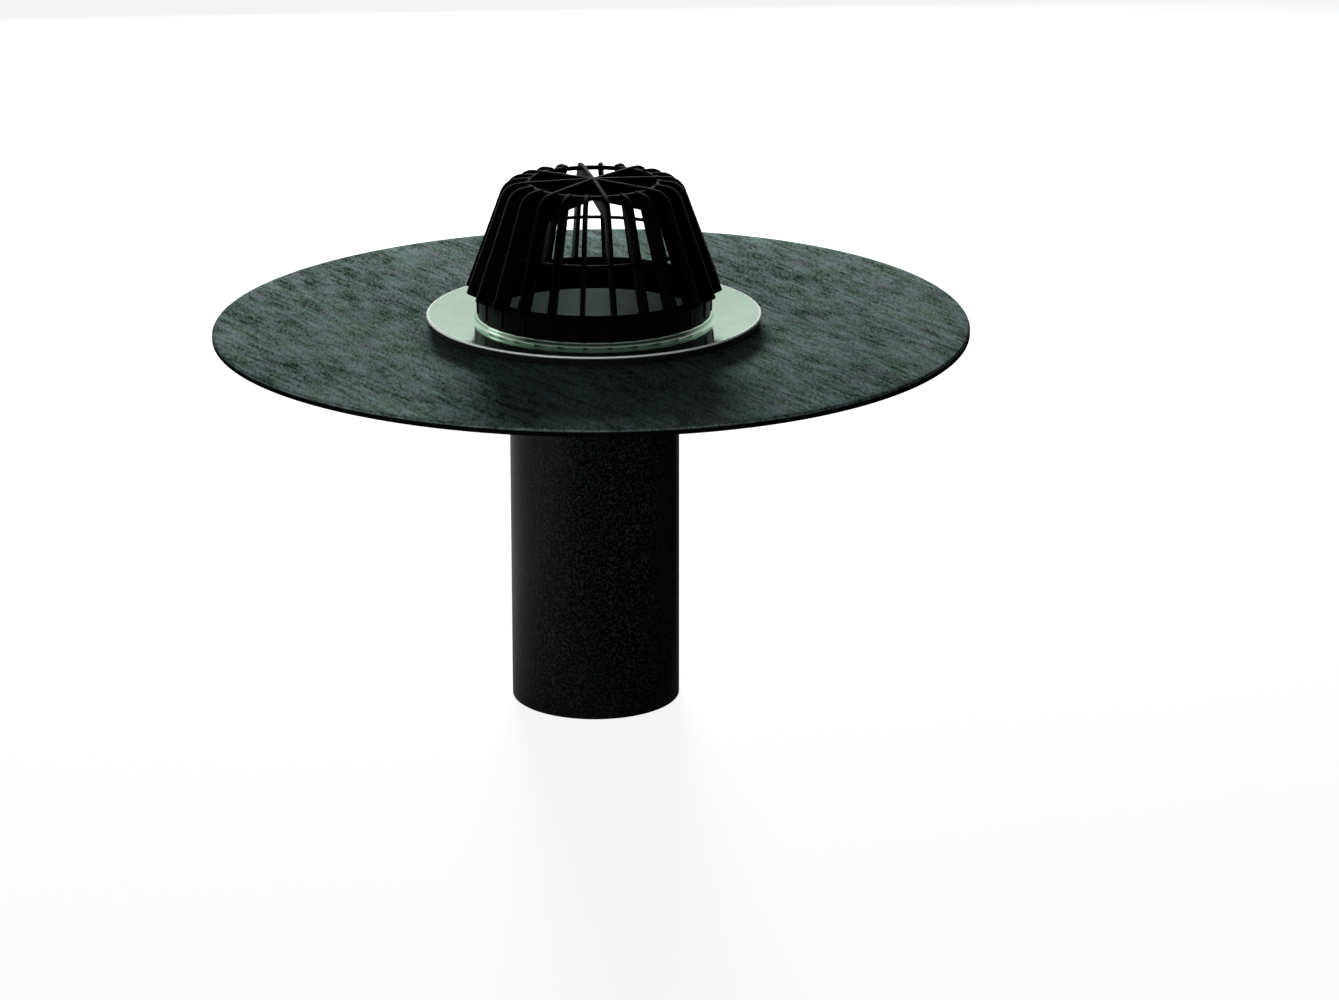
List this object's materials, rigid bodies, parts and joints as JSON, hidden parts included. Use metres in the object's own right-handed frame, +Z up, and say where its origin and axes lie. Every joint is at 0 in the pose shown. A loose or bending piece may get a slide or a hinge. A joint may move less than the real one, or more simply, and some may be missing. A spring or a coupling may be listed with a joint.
{
  "type": "flat roof drain",
  "caption": "Flat roof drain: steel inlet funnel clamping a bitumen collar on a hopper, straight outlet pipe and a finned dome leaf guard.",
  "frame": {"origin": "centre of the outlet pipe's lower end, on the plane that it stands on", "axes": "+Z up along the pipe's axis towards the leaf guard; X and Y level, the part repeats every 45 degrees round Z"},
  "size_m": [0.4899, 0.49, 0.3483],
  "materials": {
    "pipe_plastic": "fine speckled satin black",
    "hopper_plastic": "moulded satin black",
    "bitumen_sheet": "matt grey-green polymer bitumen with fine diagonal streaks",
    "black_rubber": "dull black",
    "polished_steel": "bright rolled stainless, near mirror",
    "guard_plastic": "moulded black, soft gloss on the edges"
  },
  "bodies": {
    "root": {"outlet_pipe": "pipe_plastic", "outlet_hopper": "hopper_plastic", "membrane_collar": "bitumen_sheet", "bedding_ring": "black_rubber", "inlet_funnel": "polished_steel", "leaf_guard": "guard_plastic"}
  },
  "joints": []
}
